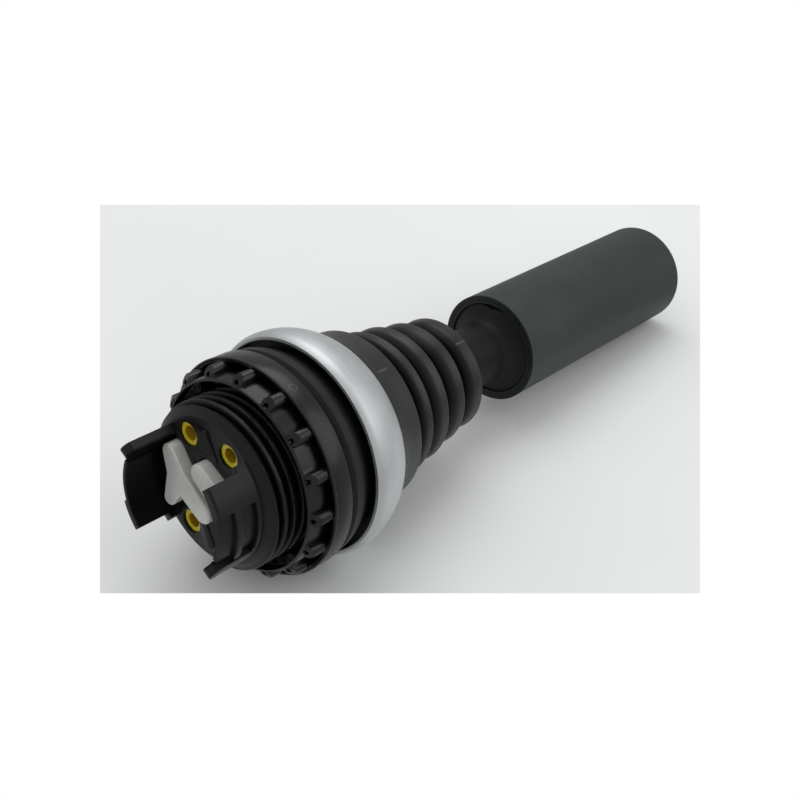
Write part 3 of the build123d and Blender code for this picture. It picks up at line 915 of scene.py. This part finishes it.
class JOYSTICK_OT_finishes(bpy.types.Operator):
    """Gives the CAD nodes that show as they are their materials"""
    bl_idname = "joystick.finishes"
    bl_label = "Finishes of the CAD nodes"

    # Bands of heights or radii in mm of painted shade: the darker colour starts at a pair's
    # first value and is full at its second
    grip_rear_shade = (43.95, 43.8)
    bezel_shade_radii = (14.6, 14.45)
    bezel_shade_heights = (5.4, 5.2)
    gasket_shade_heights = (1.7, 2.8)
    # The ring line of painted shade on the grip's rear face: its radius and half its width
    ring_shade_radius = 7.45
    ring_shade_half = 0.07

    def execute(self, context):
        steel = turned_metal("steel_turned_bright", "#8c8c8a", "#a2a2a0", "#b4b4b2",
                             roughness=0.28)
        cast = moulded("zinc_diecast_tumbled", "#6d6e6e", "#7c7d7d", "#8b8c8c",
                       roughness=0.45)
        cast.node_tree.nodes["Principled BSDF"].inputs["Metallic"].default_value = 1.0
        dark = moulded("polyamide_moulded_black", "#0c0d0d", "#111212", "#181919",
                       roughness=0.5, specular=0.3)
        natural = moulded("polyamide_moulded_natural", "#a9a698", "#b8b5a8", "#c4c2b6",
                          roughness=0.45)
        plan = {
            self.gasket(): ["panel_gasket"], self.bezel(): ["front_bezel"],
            steel: ["trunnion_pins", "bellows_clamp", "thrust_washer", "cross_pin",
                    "lever_rod", "tail_bar", "lock_nut"],
            cast: ["gimbal_ring", "pivot_hub"], self.grip(): ["grip_sleeve"],
            dark: ["grip_core"], natural: ["spring_seat"],
        }
        for material, names in plan.items():
            for name in names:
                paint(name, material)
        return {"FINISHED"}

    def gasket(self):
        """Moulded nitrile rubber, with painted shade on its front part, towards the bezel."""
        made = moulded("nitrile_rubber_moulded", "#121312", joystick_colours().gasket,
                       "#1c1d1c", roughness=0.5, grain=0.4, grain_depth=0.03, specular=0.3)
        height = cylinder_places(made)[1]
        # Painted shade: the front part turns darker and loses its gloss
        overlaid(made, step(made.node_tree, height, *self.gasket_shade_heights), "#0b0d0c",
                 specular=0.1)
        return made

    def bezel(self):
        """Satin chromed diecasting, with painted shade inside: near black and not metallic
        there.
        """
        made = turned_metal("zinc_diecast_satin_chromed", "#c2c6c7", joystick_colours().bezel,
                            "#d6dadb", roughness=0.5, line=0.2, depth=0.0015)
        tree = made.node_tree
        radius, height = cylinder_places(made)
        # Painted shade: inside the bezel the colour is near black and not metallic
        inside = add(tree, "Math", {"operation": "MULTIPLY"},
                     in_0=step(tree, radius, *self.bezel_shade_radii),
                     in_1=step(tree, height, *self.bezel_shade_heights))
        overlaid(made, inside.outputs[0], "#0d0f0e", metallic=0.0)
        return made

    def grip(self):
        """Matt moulding with painted shade on the rear face, and a dark ring line of painted
        shade on that face.
        """
        made = moulded("polyamide_moulded_matt", "#282d2c", joystick_colours().grip,
                       "#343938", roughness=0.5, grain=0.35, grain_depth=0.02, blotch=9.0,
                       specular=0.28)
        tree = made.node_tree
        radius, height = cylinder_places(made)
        # Painted shade: the rear face is darker and less glossy
        rear = step(tree, height, *self.grip_rear_shade)
        overlaid(made, rear, "#1f2423", specular=0.22)
        # Painted shade: a dark ring line on the rear face
        ring = add(tree, "Math", {"operation": "COMPARE"},
                   in_0=radius, in_1=self.ring_shade_radius, in_2=self.ring_shade_half)
        line = add(tree, "Math", {"operation": "MULTIPLY"},
                   in_0=ring.outputs[0], in_1=rear)
        overlaid(made, line.outputs[0], "#060707")
        return made


class JOYSTICK_OT_stage(bpy.types.Operator):
    """Makes the sheet that the head lies on, the lights and the camera"""
    bl_idname = "joystick.stage"
    bl_label = "Floor, lights and camera"

    # The camera that was fitted to the photo: its place in mm, two of its axes, and its
    # focal length, width and centre in pixels
    camera_place = (101.03, -87.32, -95.39)
    camera_right = (0.7456, -0.0452, 0.664)
    camera_back = (0.5624, -0.4923, -0.665)
    focal = 1300
    picture_width = 800
    picture_centre = 400
    sensor_width = 36.0
    # The sheet: its corners in pixels of the picture, the radius and height in mm where
    # the bezel and the grip touch it, and the gap that is left there
    sheet_corners = ((100, 593.3), (700, 593.3), (700, 204.7), (100, 204.7))
    bezel_touch = (15.25, 4.8)
    grip_touch = (7.77, 82.8)
    gap = 0.02
    # The lamps: metres to the right, towards the grip and up, diameter in m and power in W
    lamps = (("key", 0.0, 0.35, 0.85, 0.8, 2.9), ("fill", 0.55, -0.10, 0.35, 0.6, 0.9))
    lit_place = (0, 0, 35)
    # Strengths of the world: as light, in reflections and as the picture's background
    world_light = 0.77
    world_reflected = 0.5
    world_seen = 1.0

    def execute(self, context):
        place = Vector(self.camera_place) * MM
        right = Vector(self.camera_right).normalized()
        back = Vector(self.camera_back)
        back = (back - right * back.dot(right)).normalized()
        up = back.cross(right)
        turn = Matrix((right, up, back)).transposed().to_4x4()
        data = bpy.data.cameras.new("camera")
        data.sensor_width = self.sensor_width
        data.lens = self.sensor_width * self.focal / self.picture_width
        data.clip_start = 0.01
        data.clip_end = 10.0
        camera = bpy.data.objects.new("camera", data)
        camera.matrix_world = Matrix.Translation(place) @ turn
        context.scene.collection.objects.link(camera)
        context.scene.camera = camera
        normal = self.sheet(context, place, right, up, back)
        self.lights(context, right, normal)
        self.world(context)
        return {"FINISHED"}

    def sheet(self, context, place, right, up, back):
        """The floor touches the bezel and the grip, and ends where the picture does.

        Each corner is where the ray through a corner of the picture meets the floor. The
        floor's normal is given back.
        """
        radius, height = self.bezel_touch
        grip_radius, grip_height = self.grip_touch
        lean = math.atan((radius - grip_radius) / (grip_height - height))
        normal = Vector((0, -math.cos(lean), -math.sin(lean)))
        level = -(radius * math.cos(lean) + height * math.sin(lean) + self.gap) * MM
        corners = []
        for x, y in self.sheet_corners:
            ray = (right * ((x - self.picture_centre) / self.focal)
                   - up * ((y - self.picture_centre) / self.focal) - back)
            corners.append(place + ray * ((level - place.dot(normal)) / ray.dot(normal)))
        mesh = bpy.data.meshes.new("sheet")
        mesh.from_pydata([tuple(c) for c in corners], [], [(0, 1, 2, 3)])
        mesh.materials.append(self.card())
        floor = bpy.data.objects.new("sheet", mesh)
        context.scene.collection.objects.link(floor)
        if mesh.polygons[0].normal.dot(normal) < 0:
            mesh.flip_normals()
        return normal

    def card(self):
        """Matt pale card that can't be seen from behind."""
        made, tree, shader, place = new_material("card_matt_pale")
        grain = add(tree, "TexNoise", Vector=place, Scale=0.02, Detail=2.0)
        colour = ramp(tree, grain.outputs["Fac"], [(0.3, "#dcdedd"), (0.7, "#e0e2e1")])
        plug(tree, shader, Base_Color=colour, Roughness=0.9, Specular_IOR_Level=0.1)
        hidden = add(tree, "BsdfTransparent")
        side = add(tree, "NewGeometry")
        mix = add(tree, "MixShader", in_0=side.outputs["Backfacing"],
                  in_1=shader.outputs["BSDF"], in_2=hidden.outputs["BSDF"])
        plug(tree, tree.nodes["Material Output"], Surface=mix.outputs["Shader"])
        return made

    def lights(self, context, right, normal):
        """One large soft lamp above and behind, and one weak one in front."""
        away = normal.cross(right).normalized()
        middle = Vector(self.lit_place) * MM
        for name, across, depth, height, size, power in self.lamps:
            data = bpy.data.lights.new(name, "AREA")
            data.shape = "DISK"
            data.size = size
            data.energy = power
            lamp = bpy.data.objects.new(name, data)
            lamp.location = middle + right * across + away * depth + normal * height
            lamp.rotation_mode = "QUATERNION"
            lamp.rotation_quaternion = (middle - lamp.location).to_track_quat("-Z", "Y")
            context.scene.collection.objects.link(lamp)

    def world(self, context):
        """White all round, weaker as light and weaker still in reflections."""
        world = bpy.data.worlds.new("studio")
        world.use_nodes = True
        tree = world.node_tree
        tree.nodes.clear()
        light, glossy, white = (
            add(tree, "Background", Color=(1, 1, 1, 1), Strength=strength).outputs[0]
            for strength in (self.world_light, self.world_reflected, self.world_seen))
        path = add(tree, "LightPath")
        seen = add(tree, "MixShader", in_0=path.outputs["Is Glossy Ray"],
                   in_1=light, in_2=glossy)
        mix = add(tree, "MixShader", in_0=path.outputs["Is Camera Ray"],
                  in_1=seen.outputs[0], in_2=white)
        add(tree, "OutputWorld", Surface=mix.outputs[0])
        context.scene.world = world
        context.scene.view_settings.view_transform = "Standard"


class JOYSTICK_PT_panel(bpy.types.Panel):
    """Lists the head's sizes, colours and pieces"""
    bl_idname = "JOYSTICK_PT_panel"
    bl_label = "Panel joystick head"
    bl_space_type = "VIEW_3D"
    bl_region_type = "UI"
    bl_category = "Joystick"

    def draw(self, context):
        for group in (joystick_sizes(), joystick_colours()):
            for name in group.__annotations__:
                self.layout.prop(group, name)
        for operator in operators:
            self.layout.operator(operator.bl_idname)


operators = (JOYSTICK_OT_housing, JOYSTICK_OT_nut, JOYSTICK_OT_bellows, JOYSTICK_OT_spring,
             JOYSTICK_OT_neck, JOYSTICK_OT_switches, JOYSTICK_OT_finishes, JOYSTICK_OT_stage)


def register():
    for made in (JoystickSizes, JoystickColours) + operators + (JOYSTICK_PT_panel,):
        bpy.utils.register_class(made)
    bpy.types.Scene.joystick_sizes = bpy.props.PointerProperty(type=JoystickSizes)
    bpy.types.Scene.joystick_colours = bpy.props.PointerProperty(type=JoystickColours)


def unregister():
    del bpy.types.Scene.joystick_sizes
    del bpy.types.Scene.joystick_colours
    for made in (JOYSTICK_PT_panel,) + operators + (JoystickColours, JoystickSizes):
        bpy.utils.unregister_class(made)


def main():
    register()
    bpy.ops.joystick.housing()
    bpy.ops.joystick.nut()
    bpy.ops.joystick.bellows()
    bpy.ops.joystick.spring()
    bpy.ops.joystick.neck()
    bpy.ops.joystick.switches()
    bpy.ops.joystick.finishes()
    bpy.ops.joystick.stage()


if __name__ == "__main__":
    main()
